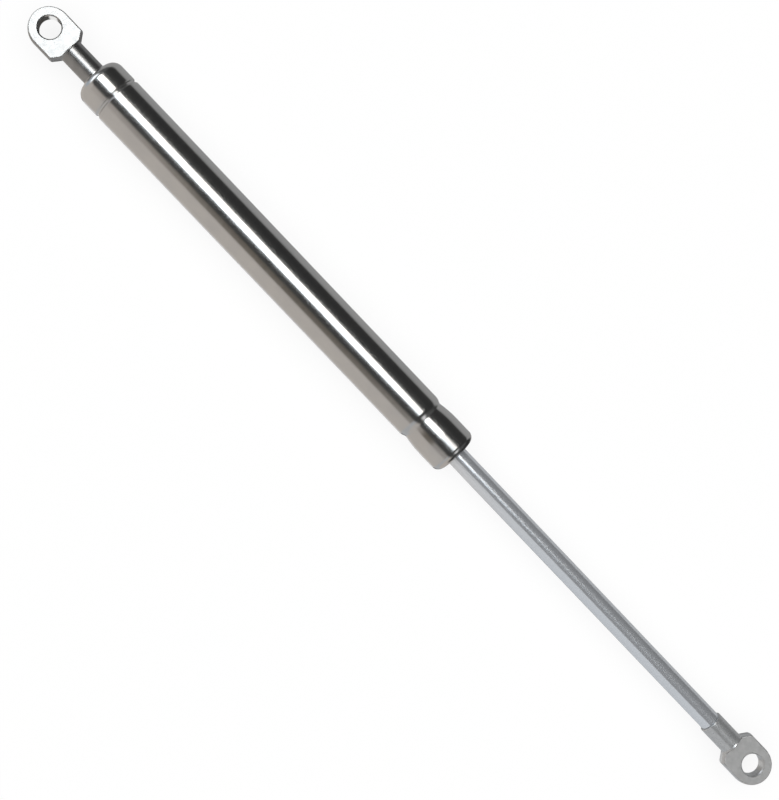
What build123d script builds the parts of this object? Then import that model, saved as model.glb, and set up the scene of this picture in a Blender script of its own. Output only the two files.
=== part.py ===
from build123d import *
import os

# Stainless gas strut stay with a flat eye at each end, drawn fully extended.
#
# The origin is the centre of the hole in the tube eye.  +X runs along the strut
# to the rod eye, and both eye holes run along Z.  All sizes are millimetres.
# Round pieces are turned about the X axis, so their outlines lie in the XY plane
# as (distance along the strut, radius).

# ---------------------------------------------------------------- driving sizes

stroke = 130.0              # how far the rod slides in
eye_spacing = 377.0         # hole centre to hole centre, fully extended
running_gap = 0.05          # radial room between the rod and what it slides in
fit_gap = 0.05              # radial room between the bore and what sits in it

# Eye fittings, both the same
eye_hole_r = 4.15
eye_bar_r = 8.0             # the round bar that an eye is turned from
blade_thickness = 5.5
blade_shoulder = 8.3        # hole centre to where the blade's full width ends
blade_step = 10.4           # hole centre to the end of the milled flats
eye_length = 22.7           # hole centre to the end of the shank
shank_start = 10.9          # hole centre to where the cone meets the shank
shank_r = 4.6
hole_chamfer = 0.5
shoulder_r = 0.6            # rounding where the cone meets the blade
shank_root_r = 0.8          # and where it meets the shank
blade_edge_r = 0.3          # rounding round the outline of the milled flats
step_root_r = 0.4           # left by the cutter where the flats end
shank_chamfer = 0.3

# M6 studs and the blind holes that they screw into
stud_r = 3.0
stud_length = 10.0
stud_chamfer = 0.6
stud_hole_depth = 11.0
drill_point = 1.7           # depth of the cone that the drill leaves

# Pressure tube
tube_outer_r = 9.5
tube_wall = 1.5
tube_spare_length = 60.3    # tube beyond the stroke, for the plug, piston and seals
lip_hole_r = 5.2            # opening in the rolled-over ends
lip_edge_r = 0.3
closed_roll_r = 3.8         # outer radius of the roll at the closed end
open_roll_r = 2.8           # and at the end that the rod comes out of
boss_proud = 0.5            # how far the end plug's boss stands out of the tube

# Rolled grooves that lock the inner pieces in the tube
plug_groove_from_end = 10.9
plug_groove_width = 1.6
plug_groove_depth = 0.6
plug_groove_r = 0.45
guide_groove_from_end = 18.1
guide_groove_width = 3.6
guide_groove_depth = 0.75
guide_groove_r = 2.0

# Outside, the guide's groove is a crease with a short flank towards the tube eye
# and a long, gently rounded one towards the rod
crease_depth = 0.8
crease_r = 0.35
short_flank = 1.8
short_flank_r = 5.0
long_flank = 4.3
long_flank_r = 45.0

# End plug
plug_length = 16.0          # from the rolled lip to its inner face
plug_boss_r = 5.1
plug_inner_chamfer = 0.5

# O-rings of the end plug and of the guide, one size
o_ring_section_r = 0.725
o_ring_land_r = 6.5         # bottom of the groove that an O-ring sits in
o_ring_groove_width = 2.2
plug_o_ring_inset = 2.3     # plug's inner face to the middle of its O-ring
guide_o_ring_inset = 2.8    # guide's inner face to the middle of its O-ring

# Seal and guide pack, from the inner groove outward
support_disc_thickness = 1.0
support_disc_bore_r = 4.3
seal_length = 4.0
seal_heel_length = 1.7
seal_inner_leg_r = 5.1
seal_outer_leg_r = 6.9
seal_relief_r = 4.35
seal_lip_length = 0.8
garter_section_r = 0.42
garter_from_front = 1.2
backup_thickness = 1.0
bush_length = 4.4
bush_outer_r = 4.9
wiper_pocket_length = 2.7
wiper_pocket_r = 6.2
wiper_lip_r = 4.6
wiper_lip_reach = 2.6
cover_bore_r = 4.75
cover_thickness = 1.5

# Rod and piston
rod_r = 4.0
rod_shoulder_chamfer = 0.2
rod_stub_r = 2.5
stub_gap = 0.05             # radial room between the stub and the pieces on it
peened_head_r = 3.6
peened_head_length = 1.5
piston_stop_room = 1.3      # front washer to the middle of the inner groove
front_washer_thickness = 1.5
front_washer_r = 7.6
piston_length = 8.5
piston_r = 7.7
piston_chamfer = 0.4
ring_groove_width = 3.5
ring_groove_r = 6.0
ring_side_gap = 0.1
ring_inner_r = 6.1
ring_outer_r = 7.92
ring_cut_width = 0.8
gas_port_r = 0.75
gas_port_circle_r = 4.7
metering_disc_thickness = 1.0
metering_disc_r = 6.9
metering_port_r = 0.5
rear_washer_thickness = 1.0
rear_washer_r = 5.5

# ---------------------------------------------------------------- places along X

tube_bore_r = tube_outer_r - tube_wall
tube_length = stroke + tube_spare_length
tube_start = eye_length + boss_proud
tube_end = tube_start + tube_length
plug_groove_x = tube_start + plug_groove_from_end
guide_groove_x = tube_end - guide_groove_from_end
fitted_r = tube_bore_r - fit_gap
sliding_r = rod_r + running_gap
stub_bore_r = rod_stub_r + stub_gap

plug_face_x = tube_start + tube_wall
plug_inner_x = plug_face_x + plug_length
plug_o_ring_x = plug_inner_x - plug_o_ring_inset

support_disc_x = guide_groove_x + guide_groove_width / 2 + 0.1
seal_x = support_disc_x + support_disc_thickness
backup_x = seal_x + seal_length
guide_x = backup_x + backup_thickness
cover_end_x = tube_end - tube_wall
cover_x = cover_end_x - cover_thickness
guide_o_ring_x = guide_x + guide_o_ring_inset
wiper_x = cover_x - wiper_pocket_length

rod_outer_x = eye_spacing - eye_length
rod_inner_x = guide_groove_x - piston_stop_room
piston_front_x = rod_inner_x - front_washer_thickness
piston_rear_x = piston_front_x - piston_length
metering_rear_x = piston_rear_x - metering_disc_thickness
stack_rear_x = metering_rear_x - rear_washer_thickness
ring_x = (piston_front_x + piston_rear_x) / 2

os.makedirs("parts", exist_ok=True)


def save(piece, name):
    """Label a finished piece and write it to its own file."""
    piece.part.label = name
    export_step(piece.part, f"parts/{name}.step")


def groove_corners(centre, width, depth, radius):
    """The four corners of a rolled groove cut into a surface of this radius."""
    return [
        (centre - width / 2, radius),
        (centre - width / 6, radius - depth),
        (centre + width / 6, radius - depth),
        (centre + width / 2, radius),
    ]


# ---------------------------------------------------------------- eye fittings

# The eye is turned with a ball end and a cone down to the shank, and then two
# flats are milled to leave the blade.
with BuildPart() as tube_eye:
    with BuildSketch(Plane.XY):
        with BuildLine():
            RadiusArc((-eye_bar_r, 0), (0, eye_bar_r), eye_bar_r)
            FilletPolyline(
                (0, eye_bar_r),
                (blade_shoulder, eye_bar_r),
                (shank_start, shank_r),
                (eye_length, shank_r),
                (eye_length, 0),
                radius=(shoulder_r, shank_root_r, shank_chamfer),
            )
            Line((eye_length, 0), (-eye_bar_r, 0))
        make_face()
    revolve(axis=Axis.X)
    with BuildSketch(Plane.XZ):
        with Locations((blade_step, blade_thickness / 2), (blade_step, -blade_thickness / 2 - eye_bar_r)):
            Rectangle(blade_step + 2 * eye_bar_r, eye_bar_r, align=(Align.MAX, Align.MIN))
    extrude(amount=2 * eye_bar_r, both=True, mode=Mode.SUBTRACT)
    step_roots = tube_eye.faces().filter_by(Axis.Z).edges().group_by(Axis.X)[-1]
    fillet(step_roots, step_root_r)
    outline = tube_eye.faces().filter_by(Axis.Z).edges().filter_by_position(
        Axis.X, -eye_bar_r, blade_step - step_root_r - 0.1
    )
    fillet(outline, blade_edge_r)
    with BuildSketch(Plane.XY):
        Circle(eye_hole_r)
    extrude(amount=blade_thickness, both=True, mode=Mode.SUBTRACT)
    with BuildSketch(Plane.XY):
        with BuildLine():
            Polyline(
                (eye_length, 0),
                (eye_length, stud_r),
                (eye_length - stud_hole_depth, stud_r),
                (eye_length - stud_hole_depth - drill_point, 0),
                close=True,
            )
        make_face()
    revolve(axis=Axis.X, mode=Mode.SUBTRACT)
    hole_rims = tube_eye.edges().filter_by(GeomType.CIRCLE).filter_by(lambda rim: rim.radius == eye_hole_r)
    chamfer(hole_rims, hole_chamfer)
save(tube_eye, "tube_eye")

# The rod eye is the same fitting, facing the other way.
with BuildPart() as rod_eye:
    add(tube_eye.part)
    mirror(about=Plane.YZ.offset(eye_spacing / 2), mode=Mode.REPLACE)
save(rod_eye, "rod_eye")

# ---------------------------------------------------------------- pressure tube

# The wall keeps its thickness round the rolled ends and through the grooves, so
# each groove outside is a bead inside.  It is a little thinner under the long
# flank of the guide's groove, where rolling has drawn it out.
plug_groove = (plug_groove_x, plug_groove_width, plug_groove_depth)
guide_groove = (guide_groove_x, guide_groove_width, guide_groove_depth)
guide_crease = (
    (guide_groove_x - short_flank, tube_outer_r),
    (guide_groove_x, tube_outer_r - crease_depth),
    (guide_groove_x + long_flank, tube_outer_r),
)

with BuildPart() as pressure_tube:
    with BuildSketch(Plane.XY):
        with BuildLine():
            FilletPolyline(
                (tube_start, lip_hole_r),
                (tube_start, tube_outer_r),
                *groove_corners(*plug_groove, tube_outer_r),
                *guide_crease,
                (tube_end, tube_outer_r),
                (tube_end, lip_hole_r),
                (tube_end - tube_wall, lip_hole_r),
                (tube_end - tube_wall, tube_bore_r),
                *reversed(groove_corners(*guide_groove, tube_bore_r)),
                *reversed(groove_corners(*plug_groove, tube_bore_r)),
                (tube_start + tube_wall, tube_bore_r),
                (tube_start + tube_wall, lip_hole_r),
                close=True,
                radius=(
                    [lip_edge_r, closed_roll_r]
                    + [plug_groove_r] * 4
                    + [short_flank_r, crease_r, long_flank_r]
                    + [open_roll_r, lip_edge_r, 0, open_roll_r - tube_wall]
                    + [guide_groove_r] * 4
                    + [plug_groove_r] * 4
                    + [closed_roll_r - tube_wall, 0]
                ),
            )
        make_face()
    revolve(axis=Axis.X)
save(pressure_tube, "pressure_tube")

# ---------------------------------------------------------------- end plug

# The plug fills the closed end.  Its boss stands out through the rolled lip,
# and its stud carries the tube eye.
with BuildPart() as end_plug:
    with BuildSketch(Plane.XY):
        with BuildLine():
            FilletPolyline(
                (eye_length - stud_length, 0),
                (eye_length - stud_length, stud_r),
                (eye_length, stud_r),
                (eye_length, plug_boss_r),
                (plug_face_x, plug_boss_r),
                (plug_face_x, fitted_r),
                *groove_corners(plug_groove_x, plug_groove_width + 0.2, plug_groove_depth, fitted_r),
                (plug_inner_x, fitted_r),
                (plug_inner_x, 0),
                close=True,
                radius=[0, 0, 0, 0, 0, closed_roll_r - tube_wall] + [plug_groove_r] * 4 + [0, 0],
            )
        make_face()
        with Locations((plug_o_ring_x, o_ring_land_r)):
            Rectangle(
                o_ring_groove_width,
                fitted_r,
                align=(Align.CENTER, Align.MIN),
                mode=Mode.SUBTRACT,
            )
    revolve(axis=Axis.X)
    stud_tip = end_plug.edges().filter_by(GeomType.CIRCLE).group_by(Axis.X)[0]
    chamfer(stud_tip, stud_chamfer)
    inner_rim = end_plug.edges().filter_by(GeomType.CIRCLE).group_by(Axis.X)[-1]
    chamfer(inner_rim, plug_inner_chamfer)
save(end_plug, "end_plug")

# ---------------------------------------------------------------- o-rings

for o_ring_name, o_ring_x in (("end_plug_o_ring", plug_o_ring_x), ("guide_o_ring", guide_o_ring_x)):
    with BuildPart() as o_ring:
        with BuildSketch(Plane.XY):
            with Locations((o_ring_x, o_ring_land_r + o_ring_section_r)):
                Circle(o_ring_section_r)
        revolve(axis=Axis.X)
    save(o_ring, o_ring_name)

# ---------------------------------------------------------------- plain rings

# Each of these is a plain ring: name, inner face along X, thickness, bore
# radius, outer radius, and the rounding of its outer edge on the rod-eye side.
plain_rings = (
    ("support_disc", support_disc_x, support_disc_thickness, support_disc_bore_r, fitted_r, 0.3),
    ("seal_backup_ring", backup_x, backup_thickness, sliding_r, fitted_r, 0.2),
    ("guide_bush", guide_x, bush_length, sliding_r, bush_outer_r, 0.2),
    ("wiper_cover", cover_x, cover_thickness, cover_bore_r, fitted_r, open_roll_r - tube_wall),
    ("piston_front_washer", piston_front_x, front_washer_thickness, stub_bore_r, front_washer_r, 0.4),
    ("piston_rear_washer", stack_rear_x, rear_washer_thickness, stub_bore_r, rear_washer_r, 0.3),
)

for ring_name, face_x, thickness, bore_r, outer_r, edge_r in plain_rings:
    with BuildPart() as plain_ring:
        with BuildSketch(Plane.YZ.offset(face_x)):
            Circle(outer_r)
            Circle(bore_r, mode=Mode.SUBTRACT)
        extrude(amount=thickness)
        outer_edge = plain_ring.edges().group_by(Axis.X)[-1].sort_by(SortBy.RADIUS)[-1]
        fillet(outer_edge, edge_r)
    save(plain_ring, ring_name)

# ---------------------------------------------------------------- rod seal

# A lip seal that opens towards the gas.  Its inner leg grips the rod with a
# short lip, and a garter spring lies in a groove round that leg.
garter_x = seal_x + garter_from_front
garter_r = seal_inner_leg_r + garter_section_r / 2

with BuildPart() as rod_seal:
    with BuildSketch(Plane.XY):
        with BuildLine():
            Polyline(
                (seal_x, sliding_r),
                (seal_x + seal_lip_length, sliding_r),
                (seal_x + seal_length - seal_heel_length, seal_relief_r),
                (seal_x + seal_length, sliding_r),
                (seal_x + seal_length, fitted_r),
                (seal_x, fitted_r),
                (seal_x, seal_outer_leg_r),
                (seal_x + seal_length - seal_heel_length, seal_outer_leg_r),
                (seal_x + seal_length - seal_heel_length, seal_inner_leg_r),
                (seal_x, seal_inner_leg_r),
                close=True,
            )
        make_face()
        with Locations((garter_x, garter_r)):
            Circle(garter_section_r, mode=Mode.SUBTRACT)
    revolve(axis=Axis.X)
save(rod_seal, "rod_seal")

with BuildPart() as seal_garter_spring:
    with BuildSketch(Plane.XY):
        with Locations((garter_x, garter_r)):
            Circle(garter_section_r)
    revolve(axis=Axis.X)
save(seal_garter_spring, "seal_garter_spring")

# ---------------------------------------------------------------- rod guide

# The housing holds the bush at its inner end and the wiper in a pocket at its
# outer end, with an O-ring groove round the outside.
with BuildPart() as guide_housing:
    with BuildSketch(Plane.XY):
        with BuildLine():
            Polyline(
                (guide_x, bush_outer_r),
                (guide_x, fitted_r),
                (cover_x, fitted_r),
                (cover_x, wiper_pocket_r),
                (wiper_x, wiper_pocket_r),
                (wiper_x, bush_outer_r),
                close=True,
            )
        make_face()
        with Locations((guide_o_ring_x, o_ring_land_r)):
            Rectangle(
                o_ring_groove_width,
                fitted_r,
                align=(Align.CENTER, Align.MIN),
                mode=Mode.SUBTRACT,
            )
    revolve(axis=Axis.X)
save(guide_housing, "guide_housing")

# The wiper's lip reaches out through the cover and the rolled lip of the tube.
with BuildPart() as rod_wiper:
    with BuildSketch(Plane.XY):
        with BuildLine():
            FilletPolyline(
                (wiper_x, seal_relief_r),
                (wiper_x, wiper_pocket_r),
                (cover_x, wiper_pocket_r),
                (cover_x, wiper_lip_r),
                (cover_x + wiper_lip_reach, wiper_lip_r),
                (cover_x + wiper_lip_reach, sliding_r),
                (cover_x, seal_relief_r),
                close=True,
                radius=[0, 0, 0, 0, 0.25, 0, 0],
            )
        make_face()
    revolve(axis=Axis.X)
save(rod_wiper, "rod_wiper")

# ---------------------------------------------------------------- piston rod

# The rod carries the rod eye on its outer stud.  Its inner stub passes through
# the piston stack and is peened over behind it.
with BuildPart() as piston_rod:
    with BuildSketch(Plane.XY):
        with BuildLine():
            Polyline(
                (stack_rear_x - peened_head_length, 0),
                (stack_rear_x - peened_head_length, peened_head_r),
                (stack_rear_x, peened_head_r),
                (stack_rear_x, rod_stub_r),
                (rod_inner_x, rod_stub_r),
                (rod_inner_x, rod_r),
                (rod_outer_x, rod_r),
                (rod_outer_x, stud_r),
                (rod_outer_x + stud_length, stud_r),
                (rod_outer_x + stud_length, 0),
                close=True,
            )
        make_face()
    revolve(axis=Axis.X)
    rims = piston_rod.edges().filter_by(GeomType.CIRCLE).group_by(Axis.X)
    fillet(rims[0], peened_head_length / 2)
    chamfer(rims[-1], stud_chamfer)
    shoulder_rims = piston_rod.edges().filter_by_position(Axis.X, rod_outer_x - 0.1, rod_outer_x + 0.1)
    chamfer(shoulder_rims.sort_by(SortBy.RADIUS)[-1], rod_shoulder_chamfer)
save(piston_rod, "piston_rod")

# ---------------------------------------------------------------- piston stack

# The piston has a groove for its ring and two drilled ports for the gas.
with BuildPart() as piston:
    with BuildSketch(Plane.YZ.offset(piston_rear_x)):
        Circle(piston_r)
        Circle(stub_bore_r, mode=Mode.SUBTRACT)
        with PolarLocations(gas_port_circle_r, 2):
            Circle(gas_port_r, mode=Mode.SUBTRACT)
    extrude(amount=piston_length)
    end_rims = piston.edges().filter_by(GeomType.CIRCLE).filter_by(lambda rim: rim.radius == piston_r)
    chamfer(end_rims, piston_chamfer)
    with BuildSketch(Plane.YZ.offset(ring_x - ring_groove_width / 2)):
        Circle(piston_r + running_gap)
        Circle(ring_groove_r, mode=Mode.SUBTRACT)
    extrude(amount=ring_groove_width, mode=Mode.SUBTRACT)
save(piston, "piston")

# The piston ring is cut through once so that it can be opened over the piston.
with BuildPart() as piston_ring:
    ring_width = ring_groove_width - 2 * ring_side_gap
    with BuildSketch(Plane.YZ.offset(ring_x - ring_width / 2)):
        Circle(ring_outer_r)
        Circle(ring_inner_r, mode=Mode.SUBTRACT)
        with Locations((0, ring_outer_r)):
            Rectangle(ring_cut_width, ring_outer_r, mode=Mode.SUBTRACT)
    extrude(amount=ring_width)
save(piston_ring, "piston_ring")

# The metering disc's small holes set how fast the gas can pass the piston.
with BuildPart() as metering_disc:
    with BuildSketch(Plane.YZ.offset(metering_rear_x)):
        Circle(metering_disc_r)
        Circle(stub_bore_r, mode=Mode.SUBTRACT)
        with PolarLocations(gas_port_circle_r + metering_port_r, 2):
            Circle(metering_port_r, mode=Mode.SUBTRACT)
    extrude(amount=metering_disc_thickness)
save(metering_disc, "metering_disc")
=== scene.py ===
"""Finished look of the gas strut stay: studio, camera, detailed pieces and materials.

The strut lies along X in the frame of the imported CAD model, in metres.
"""

import math
from collections import namedtuple

import bmesh
import bpy
from mathutils import Matrix, Vector


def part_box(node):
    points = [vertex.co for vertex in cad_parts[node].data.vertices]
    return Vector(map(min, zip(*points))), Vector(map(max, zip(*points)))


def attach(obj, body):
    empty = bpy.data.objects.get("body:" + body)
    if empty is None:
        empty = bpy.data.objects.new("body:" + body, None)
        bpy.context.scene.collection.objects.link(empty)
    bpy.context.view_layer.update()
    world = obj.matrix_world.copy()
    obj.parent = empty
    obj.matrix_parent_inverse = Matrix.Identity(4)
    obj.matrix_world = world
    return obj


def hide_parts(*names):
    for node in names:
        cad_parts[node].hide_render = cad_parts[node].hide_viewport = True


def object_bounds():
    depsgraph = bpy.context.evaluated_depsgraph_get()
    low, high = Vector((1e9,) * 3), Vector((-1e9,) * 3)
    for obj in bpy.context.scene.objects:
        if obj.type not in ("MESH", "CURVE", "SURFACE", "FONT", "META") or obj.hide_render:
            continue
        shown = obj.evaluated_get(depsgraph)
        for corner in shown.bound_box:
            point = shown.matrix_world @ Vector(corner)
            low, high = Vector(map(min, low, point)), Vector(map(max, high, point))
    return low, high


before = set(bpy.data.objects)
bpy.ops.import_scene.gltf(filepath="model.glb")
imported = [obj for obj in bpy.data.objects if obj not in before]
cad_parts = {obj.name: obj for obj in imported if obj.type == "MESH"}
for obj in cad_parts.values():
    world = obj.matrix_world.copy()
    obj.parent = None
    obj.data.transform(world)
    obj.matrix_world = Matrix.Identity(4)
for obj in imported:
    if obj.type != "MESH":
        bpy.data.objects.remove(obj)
cad_low, cad_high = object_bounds()

MM = 0.001
X_AXIS = Vector((1.0, 0.0, 0.0))


# ---------------------------------------------------------------- node helpers


def add_node(tree, kind, inputs=None, **settings):
    """Add a shader node, with its properties and its unlinked inputs set."""
    node = tree.nodes.new(kind)
    for name, value in settings.items():
        setattr(node, name, value)
    for name, value in (inputs or {}).items():
        if isinstance(value, bpy.types.NodeSocket):
            tree.links.new(value, node.inputs[name])
        else:
            node.inputs[name].default_value = value
    return node


def calculate(tree, operation, *values):
    """The result of one Math node on these numbers or sockets."""
    inputs = dict(enumerate(values))
    return add_node(tree, "ShaderNodeMath", inputs, operation=operation).outputs[0]


def smooth_step(tree, value, start, end):
    """0 before start and 1 after end, with a smooth change between them."""
    step = add_node(
        tree,
        "ShaderNodeMapRange",
        {"Value": value, "From Min": start, "From Max": end},
        interpolation_type="SMOOTHSTEP",
    )
    return step.outputs["Result"]


def window(tree, value, low, high, blur):
    """1 between low and high and 0 outside, with edges that are blur wide."""
    rise = smooth_step(tree, value, low - blur / 2, low + blur / 2)
    fall = smooth_step(tree, value, high + blur / 2, high - blur / 2)
    return calculate(tree, "MULTIPLY", rise, fall)


def mix_colours(tree, amount, first, second):
    """First where amount is 0 and second where it is 1."""
    mix = add_node(tree, "ShaderNodeMix", {"Factor": amount}, data_type="RGBA")
    for name, value in (("A", first), ("B", second)):
        socket = next(s for s in mix.inputs if s.name == name and s.type == "RGBA")
        if isinstance(value, bpy.types.NodeSocket):
            tree.links.new(value, socket)
        else:
            socket.default_value = (*value, 1.0)
    return next(s for s in mix.outputs if s.type == "RGBA")


def mix_values(tree, amount, first, second):
    """First where amount is 0 and second where it is 1, for single values."""
    return add_node(tree, "ShaderNodeMix", {"Factor": amount, "A": first, "B": second}).outputs["Result"]


# ---------------------------------------------------------------- camera

LENS_MM = 63.0
SENSOR_MM = 36.0
CAMERA_DISTANCE = 518 * MM
CAMERA_LEAN_TO_TUBE_EYE = math.radians(4.3)
CAMERA_LEAN_TO_MINUS_Y = math.radians(5.5)
CAMERA_ROLL = math.radians(46.34)
AIM_FROM_MIDDLE = Vector((-6.9 * MM, -3.84 * MM, 0.0))


def add_camera():
    """A camera above the strut, rolled so that the strut crosses the picture."""
    camera = bpy.data.objects.new("camera", bpy.data.cameras.new("camera"))
    bpy.context.scene.collection.objects.link(camera)
    camera.data.lens = LENS_MM
    camera.data.sensor_width = SENSOR_MM
    camera.data.clip_start = 0.01
    camera.data.clip_end = 100.0
    back = Vector((
        -math.sin(CAMERA_LEAN_TO_TUBE_EYE),
        -math.sin(CAMERA_LEAN_TO_MINUS_Y) * math.cos(CAMERA_LEAN_TO_TUBE_EYE),
        math.cos(CAMERA_LEAN_TO_MINUS_Y) * math.cos(CAMERA_LEAN_TO_TUBE_EYE),
    ))
    along = (X_AXIS - X_AXIS.dot(back) * back).normalized()
    across = back.cross(along)
    right = math.cos(CAMERA_ROLL) * along + math.sin(CAMERA_ROLL) * across
    up = -math.sin(CAMERA_ROLL) * along + math.cos(CAMERA_ROLL) * across
    middle = (cad_low + cad_high) / 2
    aim = Vector((middle.x, 0.0, 0.0)) + AIM_FROM_MIDDLE
    turn = Matrix((right, up, back)).transposed().to_4x4()
    camera.matrix_world = Matrix.Translation(aim + back * CAMERA_DISTANCE) @ turn
    bpy.context.scene.camera = camera


# ---------------------------------------------------------------- studio

DARK_STUDIO = (0.035, 0.035, 0.035)
PALE_BACKDROP = (0.99, 0.99, 0.99)
UNDER_STRUT = (-0.90, -0.935)
UNDER_STRUT_COLOUR = (0.06, 0.057, 0.053)

# The studio as the metal sees it.  Each card covers the ones before it.
# "round" is degrees about the strut from straight up, positive towards +Y;
# "along" is degrees out of the plane across the strut, positive towards +X.
# "blur" and "fade" are how wide the card's edges are, round and along.  A limit past
# 90 along or 180 round leaves the card open there.  Straight down, inside the
# UNDER_STRUT heights, the metal sees the shade under the strut.
Card = namedtuple("Card", ("round", "blur", "along", "fade", "colour"))

CARDS = {
    "floor_side": Card((93, 200), 7, (-91, 28), 10, (0.40, 0.40, 0.40)),
    "warm_wall": Card((-200, -37), 4, (-91, 62), 10, (0.63, 0.59, 0.55)),
    "grey_wall": Card((-200, -37), 4, (10, 31), 4, (0.56, 0.575, 0.59)),
    "brown_gap": Card((-59, -34), 3, (-9.5, 6.5), 3, (0.135, 0.115, 0.09)),
    "end_glow": Card((-70, 40), 20, (-91, -60), 3, (2.0, 2.1, 2.2)),
    "end_floor": Card((-200, -62), 10, (-91, -55), 4, (0.50, 0.55, 0.60)),
    "fill_ahead": Card((25, 92), 12, (34, 91), 12, (0.10, 0.10, 0.10)),
    "fill_behind": Card((25, 92), 12, (-91, -36), 12, (0.10, 0.10, 0.10)),
    "far_window": Card((-4, 20), 6, (33, 62), 8, (1.1, 1.1, 1.1)),
    "softbox_warm": Card((9, 20.5), 1, (-42, 5.7), 2, (6.2, 6.0, 5.7)),
    "softbox_cool": Card((-2.5, 10), 1, (-42, 5.7), 2, (5.6, 6.0, 6.3)),
}

# A patch of lit floor beside that shade.  It shows inside the tube eye's hole.
LIT_FLOOR = Card((-169, -156), 2, (-15, 9), 2, (1.0, 1.0, 1.0))


def add_card(tree, seen, card, around, along):
    """The colour seen once this card stands in front of it."""
    inside = calculate(
        tree,
        "MULTIPLY",
        window(tree, around, *card.round, card.blur),
        window(tree, along, *card.along, card.fade),
    )
    return mix_colours(tree, inside, seen, card.colour)


def light_the_metal(tree):
    """The colour that the metal sees in each direction."""
    direction = add_node(tree, "ShaderNodeTexCoord").outputs["Generated"]
    parts = add_node(tree, "ShaderNodeSeparateXYZ", {"Vector": direction}).outputs
    around = calculate(tree, "DEGREES", calculate(tree, "ARCTAN2", parts["Y"], parts["Z"]))
    along = calculate(tree, "DEGREES", calculate(tree, "ARCSINE", parts["X"]))
    seen = DARK_STUDIO
    for card in CARDS.values():
        seen = add_card(tree, seen, card, around, along)
    under = smooth_step(tree, parts["Z"], *UNDER_STRUT)
    seen = mix_colours(tree, under, seen, UNDER_STRUT_COLOUR)
    return add_card(tree, seen, LIT_FLOOR, around, along)


def add_studio_world():
    """Reflection cards for the metal, and a plain pale backdrop for the camera."""
    world = bpy.data.worlds.new("studio")
    bpy.context.scene.world = world
    world.use_nodes = True
    tree = world.node_tree
    tree.nodes.clear()
    reflections = add_node(tree, "ShaderNodeBackground", {"Color": light_the_metal(tree)})
    backdrop = add_node(tree, "ShaderNodeBackground", {"Color": (*PALE_BACKDROP, 1.0)})
    straight = add_node(tree, "ShaderNodeLightPath").outputs["Is Camera Ray"]
    choice = add_node(
        tree,
        "ShaderNodeMixShader",
        {0: straight, 1: reflections.outputs[0], 2: backdrop.outputs[0]},
    )
    add_node(tree, "ShaderNodeOutputWorld", {"Surface": choice.outputs[0]})
    world.cycles_visibility.diffuse = False


OVERHEAD_STRENGTH = 3.1
OVERHEAD_SPREAD = math.radians(100)


def add_soft_light():
    """A wide soft light from above, which mirrors on nothing."""
    light = bpy.data.objects.new("soft_overhead", bpy.data.lights.new("soft_overhead", "SUN"))
    bpy.context.scene.collection.objects.link(light)
    light.data.energy = OVERHEAD_STRENGTH
    light.data.angle = OVERHEAD_SPREAD
    light.visible_glossy = False


FLOOR_HALF_WIDTH = 30.0
FLOOR_COLOUR = (0.13, 0.13, 0.13)
FLOOR_GLOW = 0.87


def add_floor():
    """A plain pale floor that the strut lies on.  Its own glow keeps the shadow faint."""
    half = FLOOR_HALF_WIDTH
    corners = [(-half, -half, 0), (half, -half, 0), (half, half, 0), (-half, half, 0)]
    mesh = bpy.data.meshes.new("floor")
    mesh.from_pydata(corners, [], [(0, 1, 2, 3)])
    floor = bpy.data.objects.new("floor", mesh)
    bpy.context.scene.collection.objects.link(floor)
    floor.location.z = cad_low.z
    material, tree, surface = new_material("pale_floor", Roughness=0.9)
    surface.inputs["Base Color"].default_value = (*FLOOR_COLOUR, 1.0)
    surface.inputs["Specular IOR Level"].default_value = 0.0
    surface.inputs["Emission Color"].default_value = (1.0, 1.0, 1.0, 1.0)
    surface.inputs["Emission Strength"].default_value = FLOOR_GLOW
    mesh.materials.append(material)
    floor.visible_glossy = False


# ---------------------------------------------------------------- material helpers


def new_material(name, **surface_inputs):
    """A material with one Principled surface, and that surface and its tree."""
    material = bpy.data.materials.new(name)
    material.use_nodes = True
    tree = material.node_tree
    surface = tree.nodes["Principled BSDF"]
    for socket, value in surface_inputs.items():
        surface.inputs[socket.replace("_", " ")].default_value = value
    return material, tree, surface


def place(tree):
    """X, Y and Z in the strut's frame, in metres."""
    coordinates = add_node(tree, "ShaderNodeTexCoord").outputs["Object"]
    parts = add_node(tree, "ShaderNodeSeparateXYZ", {"Vector": coordinates}).outputs
    return parts["X"], parts["Y"], parts["Z"]


TINY_SQUARE = 1e-9


def distance(tree, across, up):
    """How far the point (across, up) is from the middle, and never quite nothing."""
    squares = calculate(
        tree,
        "ADD",
        calculate(tree, "MULTIPLY", across, across),
        calculate(tree, "MULTIPLY", up, up),
    )
    return calculate(tree, "SQRT", calculate(tree, "MAXIMUM", squares, TINY_SQUARE))


def rings(tree, spacing, waver=0.3, detail=3.0):
    """Noise from 0 to 1 drawn out into rings about the strut's axis, as turning leaves.

    The noise runs along the axis and the radius, and changes little round the axis.
    """
    x, y, z = place(tree)
    radius = distance(tree, y, z)
    frame_of_noise = add_node(
        tree,
        "ShaderNodeCombineXYZ",
        {
            "X": calculate(tree, "DIVIDE", x, spacing),
            "Y": calculate(tree, "DIVIDE", radius, spacing),
            "Z": calculate(tree, "MULTIPLY", calculate(tree, "DIVIDE", y, radius), waver),
        },
    )
    noise = add_node(
        tree,
        "ShaderNodeTexNoise",
        {
            "Vector": frame_of_noise.outputs["Vector"],
            "W": calculate(tree, "MULTIPLY", calculate(tree, "DIVIDE", z, radius), waver),
            "Scale": 1.0,
            "Detail": detail,
        },
        noise_dimensions="4D",
    )
    return noise.outputs["Fac"]


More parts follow.
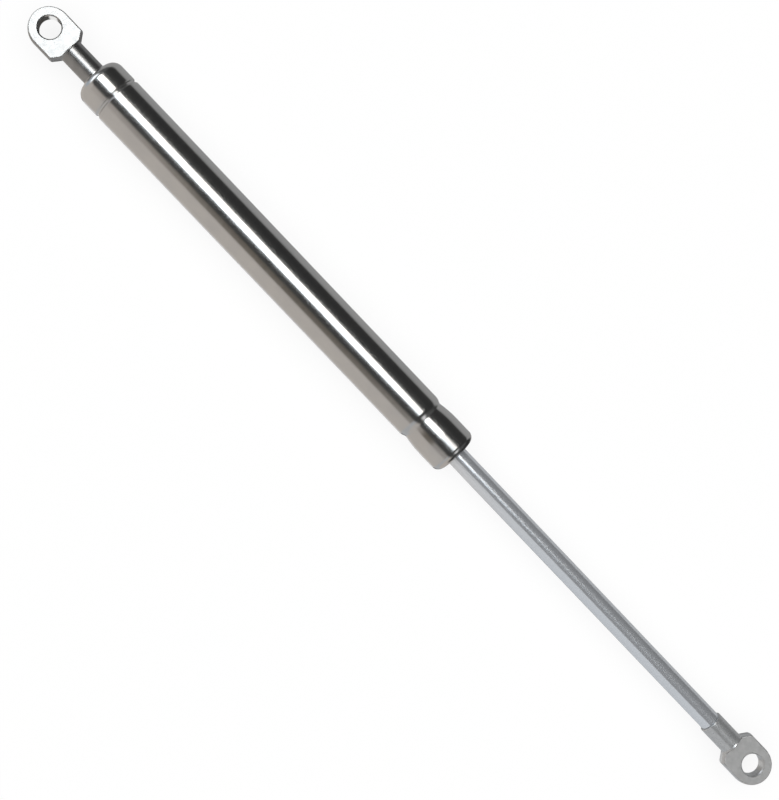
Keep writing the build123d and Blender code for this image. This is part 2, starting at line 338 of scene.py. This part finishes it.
def grain(tree, size, detail=3.0, stretch=(1.0, 1.0, 1.0)):
    """Noise from 0 to 1 with grains of this size, drawn out by stretch."""
    coordinates = add_node(tree, "ShaderNodeTexCoord").outputs["Object"]
    mapping = add_node(
        tree,
        "ShaderNodeMapping",
        {"Vector": coordinates, "Scale": tuple(1 / (size * part) for part in stretch)},
    )
    noise = add_node(
        tree,
        "ShaderNodeTexNoise",
        {"Vector": mapping.outputs["Vector"], "Scale": 1.0, "Detail": detail},
    )
    return noise.outputs["Fac"]


def spread(tree, noise, low, high, soft=0.22):
    """Noise about 0.5 spread out to run from low to high."""
    return add_node(
        tree,
        "ShaderNodeMapRange",
        {"Value": noise, "From Min": 0.5 - soft, "From Max": 0.5 + soft, "To Min": low, "To Max": high},
    ).outputs["Result"]


def tint(tree, surface, noise, first, second):
    """Colour the surface from first to second as the noise goes from 0 to 1."""
    colour = mix_colours(tree, noise, first, second)
    tree.links.new(colour, surface.inputs["Base Color"])


def dull(tree, surface, roughness):
    """Give the surface this varying roughness."""
    tree.links.new(roughness, surface.inputs["Roughness"])


def relief(tree, surface, *heights):
    """Raise the surface by each (noise, depth in metres) in turn."""
    normal = None
    for noise, depth in heights:
        inputs = {"Height": noise, "Distance": depth, "Strength": 1.0}
        if normal is not None:
            inputs["Normal"] = normal
        normal = add_node(tree, "ShaderNodeBump", inputs).outputs["Normal"]
    tree.links.new(normal, surface.inputs["Normal"])


# ---------------------------------------------------------------- finishes


def polished_stainless():
    """The tube: fine rings from the polishing belt, under a faint cloudy mottling."""
    material, tree, surface = new_material("polished_stainless_finish", Metallic=1.0)
    clouds = spread(tree, grain(tree, 9 * MM, detail=4.0), 0.0, 1.0)
    tint(tree, surface, clouds, (0.575, 0.575, 0.575), (0.625, 0.62, 0.61))
    belt = rings(tree, 0.25 * MM, waver=0.6, detail=4.0)
    dull(tree, surface, spread(tree, belt, 0.17, 0.235))
    relief(tree, surface, (belt, 0.0022 * MM), (grain(tree, 3 * MM), 0.004 * MM))
    return material


# The eye fittings' measures, as the CAD has them.
TUBE_EYE_HOLE_X = 0.0
EYE_BAR_R = 8.0 * MM
EYE_HOLE_R = 4.15 * MM
BLADE_HALF = 2.75 * MM
SHANK_START = 10.9 * MM


def on_the_flats(tree, hole_x):
    """1 on the milled flats of the eye with its hole at hole_x, and 0 on its turned parts."""
    x, _, z = place(tree)
    height = calculate(tree, "ABSOLUTE", z)
    from_hole = calculate(tree, "ABSOLUTE", calculate(tree, "SUBTRACT", x, hole_x))
    on_faces = smooth_step(tree, height, BLADE_HALF - 0.2 * MM, BLADE_HALF - 0.05 * MM)
    before_shank = smooth_step(tree, from_hole, SHANK_START, SHANK_START - 0.3 * MM)
    return calculate(tree, "MULTIPLY", on_faces, before_shank)


def reamed_bore_and_painted_reflection(tree, hole_x):
    """1 on the reamed wall of the hole at hole_x, and 0 outside it. The wall is smoother, and its light
    colour is a painted reflection.
    """
    x, y, _ = place(tree)
    away = distance(tree, calculate(tree, "SUBTRACT", x, hole_x), y)
    return smooth_step(tree, away, EYE_HOLE_R + 0.2 * MM, EYE_HOLE_R + 0.05 * MM)


def bright_stainless():
    """The tube eye: flats milled bright, a duller turned shank darkened further by painted shade, and a
    reamed hole with a light colour as a painted reflection.
    """
    material, tree, surface = new_material("bright_stainless_finish", Metallic=1.0)
    clouds = spread(tree, grain(tree, 2.2 * MM, detail=5.0), 0.0, 1.0)
    flats = on_the_flats(tree, TUBE_EYE_HOLE_X)
    hole = reamed_bore_and_painted_reflection(tree, TUBE_EYE_HOLE_X)
    # The turned shank is darker than the milled flats: partly its turned finish, partly painted shade for
    # the dark surroundings it reflects.
    turned = mix_colours(tree, clouds, (0.30, 0.30, 0.30), (0.36, 0.36, 0.36))
    milled = mix_colours(tree, clouds, (0.34, 0.34, 0.34), (0.42, 0.42, 0.415))
    skin = mix_colours(tree, flats, turned, milled)
    # The hole's wall: a smoother reamed finish, and a light colour that is a painted reflection.
    tint(tree, surface, hole, skin, (0.78, 0.78, 0.77))
    fine = grain(tree, 0.3 * MM, detail=4.0)
    skin_roughness = mix_values(tree, flats, spread(tree, fine, 0.31, 0.39), spread(tree, fine, 0.36, 0.46))
    dull(tree, surface, mix_values(tree, hole, skin_roughness, 0.14))
    relief(tree, surface, (fine, 0.004 * MM), (rings(tree, 0.2 * MM), 0.002 * MM))
    return material


def tumbled_stainless():
    """The rod eye: tumbled to a matt grey on its flats, and smoother on its shank."""
    material, tree, surface = new_material("tumbled_stainless_finish", Metallic=0.7)
    clouds = spread(tree, grain(tree, 1.8 * MM, detail=5.0), 0.0, 1.0)
    flats = on_the_flats(tree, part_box("rod_eye")[1].x - EYE_BAR_R)
    turned = mix_colours(tree, clouds, (0.49, 0.50, 0.51), (0.565, 0.575, 0.58))
    milled = mix_colours(tree, clouds, (0.37, 0.37, 0.367), (0.45, 0.447, 0.445))
    tint(tree, surface, flats, turned, milled)
    fine = grain(tree, 0.28 * MM, detail=4.0)
    roughness = mix_values(tree, flats, spread(tree, fine, 0.26, 0.32), spread(tree, fine, 0.44, 0.52))
    dull(tree, surface, roughness)
    relief(tree, surface, (fine, 0.003 * MM), (grain(tree, 1.1 * MM), 0.006 * MM))
    return material


def ground_stainless():
    """The rod: ground across its length to a pale satin, faintly blue."""
    material, tree, surface = new_material("ground_stainless_finish", Metallic=0.75)
    wheel = rings(tree, 0.16 * MM, waver=1.2, detail=4.0)
    tint(tree, surface, spread(tree, wheel, 0.0, 1.0), (0.74, 0.77, 0.81), (0.80, 0.83, 0.87))
    dull(tree, surface, spread(tree, wheel, 0.17, 0.21))
    relief(tree, surface, (wheel, 0.0005 * MM))
    return material


def turned_metal(name, dark, light, roughness):
    """A turned part: rings left by the tool, with a little grain."""
    material, tree, surface = new_material(name, Metallic=1.0)
    tool = rings(tree, 0.12 * MM, waver=0.2)
    tint(tree, surface, spread(tree, tool, 0.0, 1.0), dark, light)
    dull(tree, surface, spread(tree, tool, roughness - 0.07, roughness + 0.07))
    relief(tree, surface, (tool, 0.006 * MM), (grain(tree, 0.2 * MM), 0.002 * MM))
    return material


def machined_stainless():
    """The end plug, and the steel discs and washers inside."""
    return turned_metal("machined_stainless_finish", (0.50, 0.50, 0.495), (0.60, 0.60, 0.59), 0.3)


def turned_aluminium():
    """The guide housing and the piston."""
    return turned_metal("turned_aluminium_finish", (0.74, 0.75, 0.76), (0.86, 0.86, 0.87), 0.33)


def bearing_bronze():
    """The bush that the rod slides in."""
    return turned_metal("bearing_bronze_finish", (0.50, 0.33, 0.17), (0.66, 0.45, 0.24), 0.35)


def spring_wire():
    """Drawn wire: smooth, with short marks from the die."""
    material, tree, surface = new_material("spring_wire_finish", Metallic=1.0)
    drawn = grain(tree, 0.05 * MM, stretch=(1.0, 4.0, 4.0))
    tint(tree, surface, spread(tree, drawn, 0.0, 1.0), (0.44, 0.44, 0.45), (0.58, 0.58, 0.59))
    dull(tree, surface, spread(tree, drawn, 0.22, 0.34))
    relief(tree, surface, (drawn, 0.002 * MM))
    return material


def black_rubber():
    """Moulded nitrile rubber: a matt black skin with fine grain and a dusty bloom."""
    material, tree, surface = new_material("black_rubber_finish", Metallic=0.0)
    bloom = spread(tree, grain(tree, 0.8 * MM, detail=5.0), 0.0, 1.0)
    tint(tree, surface, bloom, (0.012, 0.012, 0.013), (0.035, 0.035, 0.036))
    fine = grain(tree, 0.09 * MM)
    dull(tree, surface, spread(tree, fine, 0.5, 0.72))
    relief(tree, surface, (fine, 0.006 * MM))
    return material


def white_ptfe():
    """Cut PTFE: waxy white, with faint rings from the knife."""
    material, tree, surface = new_material("white_ptfe_finish", Metallic=0.0)
    surface.inputs["Subsurface Weight"].default_value = 0.15
    surface.inputs["Subsurface Scale"].default_value = 0.5 * MM
    knife = rings(tree, 0.15 * MM)
    tint(tree, surface, spread(tree, knife, 0.0, 1.0), (0.80, 0.80, 0.77), (0.88, 0.88, 0.86))
    dull(tree, surface, spread(tree, knife, 0.4, 0.55))
    relief(tree, surface, (knife, 0.005 * MM))
    return material


FINISHES = (
    polished_stainless,
    bright_stainless,
    tumbled_stainless,
    ground_stainless,
    machined_stainless,
    turned_aluminium,
    bearing_bronze,
    spring_wire,
    black_rubber,
    white_ptfe,
)


def finish_the_cad_nodes():
    """Give each CAD node the finish that is named after its material slot."""
    finishes = {make.__name__: make() for make in FINISHES}
    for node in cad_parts.values():
        for slot in node.material_slots:
            slot.material = finishes[slot.material.name]
    return finishes


# ---------------------------------------------------------------- turned pieces

STEPS_ROUND = 96
SHARP_ANGLE = math.radians(32)
STUD_R = 3.0 * MM
STUD_LENGTH = 10.0 * MM
STUD_CHAMFER = 0.6 * MM
THREAD_PITCH = 1.0 * MM
THREAD_DEPTH = 0.61 * MM
THREAD_CLEARANCE = 0.02 * MM
CREST = 0.875               # share of the way out from root to crest where a crest starts
ROOT = 0.25                 # and where a root ends
RINGS_PER_TURN = 16
HALF_A_RING = THREAD_PITCH / RINGS_PER_TURN / 2
TUBE_WALL = 1.5 * MM


def arc(centre_x, centre_r, radius, start, end, steps=8):
    """Points (x, radius) along an arc, from start to end in degrees."""
    points = []
    for step in range(steps + 1):
        angle = math.radians(start + (end - start) * step / steps)
        points.append((centre_x + radius * math.cos(angle), centre_r + radius * math.sin(angle)))
    return points


def thread_radius(x, angle):
    """How far a right-hand M6 thread reaches from the axis at this place and angle."""
    phase = (x / THREAD_PITCH + angle / math.tau) % 1.0
    outward = abs(2 * phase - 1)
    cut = (CREST - outward) / (CREST - ROOT)
    return STUD_R - THREAD_CLEARANCE - THREAD_DEPTH * min(max(cut, 0.0), 1.0)


def stud_stations(start, end):
    """Places along a stud close enough together to show its thread."""
    count = round((end - start) / THREAD_PITCH * RINGS_PER_TURN)
    return [start + (end - start) * step / count for step in range(count + 1)]


def new_piece(name, shape, finish, body, slot, *nodes):
    """Make a piece from a bmesh, smooth it except at sharp edges, and place it in the frame."""
    bmesh.ops.recalc_face_normals(shape, faces=shape.faces)
    for face in shape.faces:
        face.smooth = True
    for edge in shape.edges:
        edge.smooth = edge.calc_face_angle(0.0) < SHARP_ANGLE
    mesh = bpy.data.meshes.new(name)
    shape.to_mesh(mesh)
    shape.free()
    mesh.materials.append(finish)
    piece = bpy.data.objects.new(name, mesh)
    bpy.context.scene.collection.objects.link(piece)
    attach(piece, body)
    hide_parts(*nodes)
    return piece


def turned_shape(outline, threaded_from, threaded_to):
    """Turn an outline of (x, radius) about the axis, and cut a thread on part of it.

    The outline starts and ends on the axis.
    """
    shape = bmesh.new()
    before = None
    for x, radius in outline:
        ring = []
        for step in range(STEPS_ROUND if radius > 0 else 1):
            angle = math.tau * step / STEPS_ROUND
            reach = radius
            if threaded_from <= x <= threaded_to:
                reach = min(radius, thread_radius(x, angle))
            ring.append(shape.verts.new((x, reach * math.sin(angle), reach * math.cos(angle))))
        if before is not None:
            join_rings(shape, before, ring)
        before = ring
    return shape


def join_rings(shape, first, second):
    """Faces between two neighbouring rings, either of which may be a single point."""
    for step in range(STEPS_ROUND):
        after = (step + 1) % STEPS_ROUND
        corners = [first[step % len(first)], second[step % len(second)]]
        if len(second) > 1:
            corners.append(second[after])
        if len(first) > 1:
            corners.append(first[after])
        shape.faces.new(corners)


def make_rod(finish):
    """The piston rod, with its real M6 thread and its peened inner end."""
    rod_low, rod_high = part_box("piston_rod")
    rod_r = 4.0 * MM
    stub_r = 2.5 * MM
    head_r = 3.6 * MM
    head_round = 0.75 * MM
    rim = 0.2 * MM
    stack_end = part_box("piston_rear_washer")[0].x
    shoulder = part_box("piston_front_washer")[1].x
    rod_end = rod_high.x - STUD_LENGTH
    outline = [(rod_low.x, 0.0)]
    outline += arc(rod_low.x + head_round, head_r - head_round, head_round, 180, 90)
    outline += [(stack_end, head_r), (stack_end, stub_r), (shoulder, stub_r), (shoulder, rod_r)]
    outline += [(rod_end - rim, rod_r), (rod_end, rod_r - rim), (rod_end, STUD_R - THREAD_DEPTH)]
    stud = stud_stations(rod_end, rod_high.x)
    outline += [(x, min(STUD_R, STUD_R - STUD_CHAMFER + rod_high.x - x)) for x in stud[1:]]
    outline += [(rod_high.x, 0.0)]
    shape = turned_shape(outline, rod_end + HALF_A_RING, rod_high.x)
    new_piece("rod_turned", shape, finish, "rod", "ground_stainless", "piston_rod")


def make_end_plug(finish):
    """The end plug, with the M6 stud that the tube eye screws on to."""
    plug_low, plug_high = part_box("end_plug")
    outer_r = plug_high.y
    boss_r = 5.1 * MM
    boss_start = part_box("tube_eye")[1].x
    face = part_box("pressure_tube")[0].x + TUBE_WALL
    corner_r = 2.3 * MM
    groove_from_tube_end = 10.9 * MM
    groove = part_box("pressure_tube")[0].x + groove_from_tube_end
    groove_half = 0.9 * MM
    groove_floor_half = 0.3 * MM
    groove_depth = 0.6 * MM
    land_r = 6.5 * MM
    o_ring_low, o_ring_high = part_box("end_plug_o_ring")
    o_ring_x = (o_ring_low.x + o_ring_high.x) / 2
    o_ring_groove_half = 1.1 * MM
    inner_chamfer = 0.5 * MM
    stud = stud_stations(plug_low.x, boss_start)
    outline = [(plug_low.x, 0.0)]
    outline += [(x, min(STUD_R, STUD_R - STUD_CHAMFER + x - plug_low.x)) for x in stud[:-1]]
    outline += [(boss_start, STUD_R - THREAD_DEPTH), (boss_start, boss_r), (face, boss_r)]
    outline += arc(face + corner_r, outer_r - corner_r, corner_r, 180, 90)
    outline += [
        (groove - groove_half, outer_r),
        (groove - groove_floor_half, outer_r - groove_depth),
        (groove + groove_floor_half, outer_r - groove_depth),
        (groove + groove_half, outer_r),
        (o_ring_x - o_ring_groove_half, outer_r),
        (o_ring_x - o_ring_groove_half, land_r),
        (o_ring_x + o_ring_groove_half, land_r),
        (o_ring_x + o_ring_groove_half, outer_r),
        (plug_high.x - inner_chamfer, outer_r),
        (plug_high.x, outer_r - inner_chamfer),
        (plug_high.x, 0.0),
    ]
    shape = turned_shape(outline, plug_low.x, boss_start - HALF_A_RING)
    new_piece("end_plug_turned", shape, finish, "tube", "machined_stainless", "end_plug")


def make_garter_spring(finish):
    """A fine wire coil joined into a ring, which keeps the seal's lip on the rod."""
    low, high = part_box("seal_garter_spring")
    wire_r = 0.1 * MM
    coil_r = (high.x - low.x) / 2 - wire_r
    middle_x = (high.x + low.x) / 2
    ring_r = high.y - coil_r - wire_r
    coil_spacing = 2.3 * wire_r
    coils = round(math.tau * ring_r / coil_spacing)
    steps_per_coil = 10
    sides = 6

    def wire_at(step):
        """The place of the wire's middle after this many steps round the ring."""
        way_round = math.tau * step / (coils * steps_per_coil)
        way_up = math.tau * step / steps_per_coil
        reach = ring_r + coil_r * math.sin(way_up)
        x = middle_x + coil_r * math.cos(way_up)
        return Vector((x, reach * math.sin(way_round), reach * math.cos(way_round)))

    shape = bmesh.new()
    loops = []
    for step in range(coils * steps_per_coil):
        way_round = math.tau * step / (coils * steps_per_coil)
        coil_middle = Vector((middle_x, ring_r * math.sin(way_round), ring_r * math.cos(way_round)))
        middle = wire_at(step)
        forward = (wire_at(step + 1) - wire_at(step - 1)).normalized()
        outward = (middle - coil_middle).normalized()
        outward = (outward - outward.dot(forward) * forward).normalized()
        sideways = forward.cross(outward)
        loop = []
        for side in range(sides):
            angle = math.tau * side / sides
            loop.append(shape.verts.new(
                middle + wire_r * (math.cos(angle) * outward + math.sin(angle) * sideways)
            ))
        loops.append(loop)
    for loop, following in zip(loops, loops[1:] + loops[:1]):
        for side in range(sides):
            after = (side + 1) % sides
            shape.faces.new((loop[side], loop[after], following[after], following[side]))
    new_piece("garter_spring_coil", shape, finish, "tube", "spring_wire", "seal_garter_spring")


# ---------------------------------------------------------------- the scene

add_camera()
add_studio_world()
add_soft_light()
add_floor()
finishes = finish_the_cad_nodes()
make_rod(finishes["ground_stainless"])
make_end_plug(finishes["machined_stainless"])
make_garter_spring(finishes["spring_wire"])
bpy.context.scene.view_settings.view_transform = "Standard"
